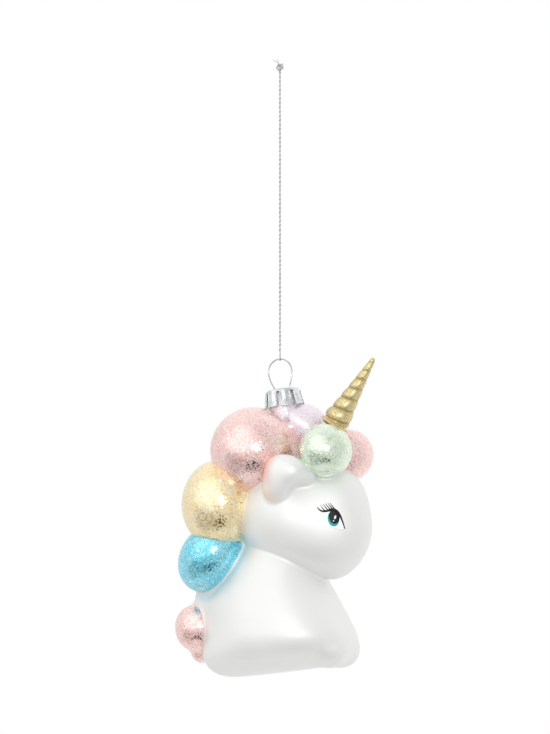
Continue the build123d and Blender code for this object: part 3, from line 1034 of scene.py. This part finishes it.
# the bight: the thread opens below the twist and goes round the wire
top = RING_Z + RING_R
loop_r = WIRE_D / 2 + 0.06 + STRAND_R
neck = RUN_BOTTOM - top
bight_line = route_points([
    (0.12, -0.15, top + neck + 0.10), (0.10, -0.22, top + 0.80 * neck), (0.05, -1.05 * loop_r, top + 0.45 * neck),
    (0.0, -1.12 * loop_r, top - 1.10 * loop_r), (0.0, 1.12 * loop_r, top - 1.10 * loop_r),
    (-0.05, 1.05 * loop_r, top + 0.45 * neck), (-0.10, 0.22, top + 0.80 * neck), (-0.12, 0.15, top + neck + 0.10)], 12)
gv, gf = tube(bight_line, STRAND_R, 10)
bight = outward(build("thread_bight", gv, gf, MAT_THREAD, "bight"))
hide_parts("cord_bight")

# the knot: an overhand turn of the doubled thread
knot_line = route_points([
    (0.0, 0.0, -0.10), (0.0, 0.0, 0.50), (0.25, -0.30, 1.00), (1.10, -0.45, 1.85), (0.70, 0.45, 2.85), (-0.85, 0.55, 2.45),
    (-1.05, -0.45, 1.35), (0.10, -0.85, 0.75), (1.10, 0.10, 1.05), (0.55, 0.85, 1.75), (-0.35, 0.45, 1.95),
    (-0.45, -0.35, 2.45), (-0.40, -0.10, 2.95), (-0.58, 0.0, 3.20)], 16)
kv, kf = join(strands(knot_line, 0.20, 0.20, 2.4, 0.4, 8))
knot = outward(build("thread_knot", kv, kf, MAT_THREAD, "knot"))
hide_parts("cord_knot")

ends = []
for ctrl in ([(-0.35, -0.05, 2.80), (-0.62, -0.12, 3.20), (-1.30, -0.22, 3.72), (-2.62, -0.32, 4.50)],
             [(-0.35, 0.05, 2.80), (-0.66, 0.12, 3.25), (-0.82, 0.22, 3.95), (-1.22, 0.35, 4.80)],
             [(0.25, 0.12, 2.02), (0.75, 0.18, 1.94), (1.25, 0.22, 1.78)],
             [(-0.20, -0.15, 0.66), (-0.55, -0.24, 0.58), (-0.95, -0.30, 0.42)]):
    line = route_points(ctrl, 12)
    rad = np.interp(np.linspace(0, 1, len(line)), [0, 0.75, 1.0], [0.18, 0.16, 0.08])
    ends.append(tube(line, rad, 8))
ev, ef = join(ends)
tails = outward(build("thread_ends", ev, ef, MAT_THREAD, "knot"))
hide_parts("cord_tails")

# =====================================================================
# painted eyes: thin films that follow the face, one over the other
# =====================================================================


def meet_face(px):
    """Where the lines of sight through pixels meet the head, and the head's normals there."""
    px = np.asarray(px, float)
    d = np.stack([ray(x, y) for x, y in px])
    d /= np.linalg.norm(d, axis=1)[:, None]
    t = np.full(len(px), 640.0)
    for _ in range(90):
        t = t + 0.85 * body_field(CAM + d * t[:, None])
    p = CAM + d * t[:, None]
    g = np.stack([body_field(p + o) - body_field(p - o) for o in np.eye(3) * 0.5], 1)
    return p, g / np.linalg.norm(g, axis=1)[:, None]


def spread(poly, gap):
    """A closed outline with points no further apart than gap."""
    out = []
    for a, b in zip(poly, list(poly[1:]) + [poly[0]]):
        n = max(int(math.ceil(math.dist(a, b) / gap)), 1)
        out += [(a[0] + (b[0] - a[0]) * i / n, a[1] + (b[1] - a[1]) * i / n) for i in range(n)]
    return out


def inside(pt, poly):
    c = False
    for (x0, y0), (x1, y1) in zip(poly, poly[1:] + poly[:1]):
        if (y0 > pt[1]) != (y1 > pt[1]) and pt[0] < (x1 - x0) * (pt[1] - y0) / (y1 - y0) + x0:
            c = not c
    return c


def film(poly, height, gap=0.9):
    """A closed thin film over the face with that outline; its top stands at height."""
    rim = spread([tuple(q) for q in poly], gap)
    pts = list(rim)
    xs, ys = [q[0] for q in rim], [q[1] for q in rim]
    for x in np.arange(min(xs), max(xs), gap * 1.3):
        for y in np.arange(min(ys), max(ys), gap * 1.3):
            if inside((x, y), rim) and min(math.hypot(x - q[0], y - q[1]) for q in rim) > 0.6 * gap:
                pts.append((x, y))
    edges = [(i, (i + 1) % len(rim)) for i in range(len(rim))]
    v2, _, tri, _, _, _ = delaunay_2d_cdt([Vector(q) for q in pts], edges, [], 1, 1e-5)
    v2 = np.array([tuple(q) for q in v2])
    p, n = meet_face(v2)
    m = len(p)
    v = np.vstack([p + height * n, p - 0.05 * n])
    f, seen = [], {}
    for t in tri:
        t = list(t)
        f.append(tuple(t))
        f.append(tuple(i + m for i in t[::-1]))
        for a, b in zip(t, t[1:] + t[:1]):
            seen[(a, b)] = True
    for (a, b) in seen:
        if (b, a) not in seen:
            f.append((b, a, a + m, b + m))
    return v, f


def oval(cx, cy, rx, ry, tilt=0.0, n=40):
    c, s = math.cos(math.radians(tilt)), math.sin(math.radians(tilt))
    out = []
    for i in range(n):
        a = 2 * math.pi * i / n
        x, y = rx * math.cos(a), ry * math.sin(a)
        out.append((cx + c * x - s * y, cy + s * x + c * y))
    return out


def stroke(pts, widths):
    """Outline of a brush stroke through the points, with a half width at each."""
    p3 = resample([(x, y, 0.0) for x, y in pts], 0.5)[:, :2]
    s = np.concatenate([[0], np.cumsum(np.linalg.norm(np.diff(p3, axis=0), axis=1))])
    key = np.array([np.argmin(np.hypot(p3[:, 0] - x, p3[:, 1] - y)) for x, y in pts])
    w = np.interp(s, s[key], widths)
    t = np.gradient(p3, axis=0)
    t /= np.linalg.norm(t, axis=1)[:, None]
    n = np.stack([-t[:, 1], t[:, 0]], 1)
    return [tuple(q) for q in p3 + n * w[:, None]] + [tuple(q) for q in (p3 - n * w[:, None])[::-1]]


def paint(name, lo, hi, rough):
    m, nt, b = new_mat(name)
    n = node(nt, "ShaderNodeTexNoise", Scale=1800.0, Detail=3.0)
    nt.links.new(coords(nt), n.inputs["Vector"])
    t = ramp(nt, n.outputs["Fac"], [(0.3, lo), (0.7, hi)])
    nt.links.new(t.outputs[0], b.inputs["Base Color"])
    r = ramp(nt, n.outputs["Fac"], [(0.3, grey(rough * 0.85)), (0.7, grey(rough * 1.2))])
    nt.links.new(r.outputs[0], b.inputs["Roughness"])
    bump = node(nt, "ShaderNodeBump", Strength=0.12, Distance=0.00004)
    nt.links.new(n.outputs["Fac"], bump.inputs["Height"])
    nt.links.new(bump.outputs[0], b.inputs["Normal"])
    return m


EYE_MATS = [paint("eye_white", rgb(252, 252, 250), rgb(255, 255, 255), 0.45),
            paint("eye_teal", rgb(0, 170, 178), rgb(30, 192, 196), 0.35),
            paint("eye_black", rgb(16, 14, 18), rgb(28, 25, 32), 0.34)]
_white = EYE_MATS[0].node_tree.nodes["Principled BSDF"]
# painted glow: the white paint gives off a little light of its own, which also lifts the two white spots on the pupil
_white.inputs["Emission Color"].default_value = (1.0, 1.0, 1.0, 1.0)
_white.inputs["Emission Strength"].default_value = 0.10
for _m in EYE_MATS[1:]:
    _m.node_tree.nodes["Principled BSDF"].inputs["Specular IOR Level"].default_value = 0.20
LID = [(317.3, 507.2), (319.3, 509.7), (322.2, 511.2), (325.6, 511.2), (328.8, 510.5), (332.5, 509.6), (336.2, 510.9),
       (339.4, 514.4), (341.9, 520.0), (344.8, 528.6)]
WHITE = LID[2:] + [(342.0, 529.3), (338.7, 529.5), (332.5, 528.0), (327.7, 523.8), (323.4, 517.5), (321.6, 512.2)]
LASHES = [[(325.4, 511.2), (322.6, 508.2), (320.4, 504.8)], [(328.2, 510.6), (325.5, 507.2), (323.2, 504.0)],
          [(330.5, 510.0), (327.7, 506.4), (325.3, 503.4)], [(332.8, 509.4), (330.1, 506.0), (327.6, 503.0)],
          [(335.0, 509.6), (332.2, 505.9), (329.8, 502.7)]]
EYE_LAYERS = [(0, WHITE, 0.05), (1, oval(333.5, 518.6, 5.8, 7.8, -8), 0.08), (2, oval(334.3, 516.6, 5.3, 7.2, -8), 0.11),
              (2, stroke(LID, [0.30, 0.60, 0.85, 0.95, 1.10, 1.45, 1.35, 1.0, 0.75, 0.40]), 0.13)]
EYE_LAYERS += [(2, stroke(l, [0.60, 0.38, 0.12]), 0.12) for l in LASHES]
# painted highlights: a white glint on the pupil and a smaller spot below it, standing for the shine of the light
EYE_LAYERS += [(0, oval(335.1, 517.3, 0.95, 2.0, 20, 18), 0.14), (0, oval(333.5, 520.9, 0.6, 0.7, 0, 12), 0.14)]


def eye(name, node_name, side):
    v, f, fm = [], [], []
    for k, poly, height in EYE_LAYERS:
        pv, pf = film(poly, height)
        o = len(v)
        v += [(q[0], q[1] * side, q[2]) for q in pv]
        f += [tuple(i + o for i in q) for q in pf]
        fm += [k] * len(pf)
    ob = outward(build(name, v, f, EYE_MATS, "ornament", smooth=True, face_mat=fm))
    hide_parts(node_name)
    return ob


eye("painted_eye_right", "eye_right", 1)
eye("painted_eye_left", "eye_left", -1)

# =====================================================================
# light, floor
# =====================================================================
scene = bpy.context.scene
scene.view_settings.view_transform = "Standard"
scene.view_settings.look = "None"

world = bpy.data.worlds.new("studio")
scene.world = world
world.use_nodes = True
wn = world.node_tree
wn.nodes.clear()
w_out = wn.nodes.new("ShaderNodeOutputWorld")
w_bg = wn.nodes.new("ShaderNodeBackground")
w_tc = wn.nodes.new("ShaderNodeTexCoord")


def along(direction, lo, hi):
    """How far a direction of the sky lies towards another, from 0 at cosine lo to 1 at cosine hi."""
    d = np.asarray(direction, float)
    d /= np.linalg.norm(d)
    dot = wn.nodes.new("ShaderNodeVectorMath")
    dot.operation = "DOT_PRODUCT"
    dot.inputs[1].default_value = tuple(d)
    wn.links.new(w_tc.outputs["Generated"], dot.inputs[0])
    mr = wn.nodes.new("ShaderNodeMapRange")
    mr.interpolation_type = "SMOOTHSTEP"
    mr.inputs[1].default_value = lo
    mr.inputs[2].default_value = hi
    wn.links.new(dot.outputs["Value"], mr.inputs[0])
    return mr.outputs[0]


def toward(right, up):
    """A direction given by degrees to the right of and above the camera."""
    r, u = math.radians(right), math.radians(up)
    return BACK * math.cos(r) * math.cos(u) + RIGHT * math.sin(r) * math.cos(u) + UP * math.sin(u)


w_ramp = ramp(wn, along(BACK, -1.0, 1.0), [(0.0, grey(1.0)), (0.42, grey(0.96)), (0.62, grey(0.80)), (1.0, grey(0.65))])
w_last = w_ramp.outputs[0]
# a broad pale reflector on the left, and the dark things below the camera
for right, up, lo, hi, tone in ((-40, 28, 0.68, 0.96, 1.95), (0, -38, 0.945, 0.968, 0.02), (-52, -33, 0.74, 0.95, 0.60), (-135, -8, 0.50, 0.95, 0.82)):
    w_part = ramp(wn, along(toward(right, up), lo, hi), [(0.0, grey(1.0)), (1.0, grey(tone))])
    w_mul = wn.nodes.new("ShaderNodeMix")
    w_mul.data_type = "RGBA"
    w_mul.blend_type = "MULTIPLY"
    w_mul.inputs[0].default_value = 1.0
    wn.links.new(w_last, w_mul.inputs[6])
    wn.links.new(w_part.outputs[0], w_mul.inputs[7])
    w_last = w_mul.outputs[2]
w_lp = wn.nodes.new("ShaderNodeLightPath")
w_mix = wn.nodes.new("ShaderNodeMix")
w_mix.data_type = "RGBA"
wn.links.new(w_lp.outputs["Is Camera Ray"], w_mix.inputs[0])
wn.links.new(w_last, w_mix.inputs[6])
w_mix.inputs[7].default_value = grey(1.0)
wn.links.new(w_mix.outputs[2], w_bg.inputs[0])
w_bg.inputs[1].default_value = 1.0
wn.links.new(w_bg.outputs[0], w_out.inputs[0])

CENTRE = np.array([0.0, 0.0, -150.0])


def softbox(name, direction, dist, size, power):
    d = np.asarray(direction, float)
    d /= np.linalg.norm(d)
    li = bpy.data.lights.new(name, "AREA")
    li.shape = "DISK"
    li.size = size
    li.energy = power
    ob = bpy.data.objects.new(name, li)
    pos = Vector(tuple((CENTRE + d * dist) * MM))
    ob.location = pos
    ob.rotation_euler = Vector(tuple(d)).to_track_quat("Z", "Y").to_euler()
    scene.collection.objects.link(ob)
    return ob


softbox("key", toward(4, 14), 900.0, 0.225, 1.28)

# pale floor, well below the ornament
fv, ff = [], []
N = 96
for i, (r, z) in enumerate(((0.0, 0.0), (400.0, 0.0), (800.0, 0.0), (1300.0, 0.0))):
    for k in range(N):
        a = 2 * math.pi * k / N
        fv.append((r * math.cos(a) * MM, r * math.sin(a) * MM, -2.10))
for i in range(3):
    for k in range(N):
        l = (k + 1) % N
        if i == 0:
            ff.append((k * 0, N + k, N + l))
        else:
            ff.append((i * N + k, (i + 1) * N + k, (i + 1) * N + l, i * N + l))
fm = bpy.data.meshes.new("pale_floor")
fm.from_pydata(fv, [], ff)
m, nt, b = new_mat("pale_floor")
n1 = node(nt, "ShaderNodeTexNoise", Scale=14.0, Detail=4.0)
nt.links.new(coords(nt), n1.inputs["Vector"])
t1 = ramp(nt, n1.outputs["Fac"], [(0.3, grey(0.86)), (0.7, grey(0.90))])
nt.links.new(t1.outputs[0], b.inputs["Base Color"])
b.inputs["Roughness"].default_value = 0.7
fm.materials.append(m)
floor = bpy.data.objects.new("pale_floor", fm)
scene.collection.objects.link(floor)
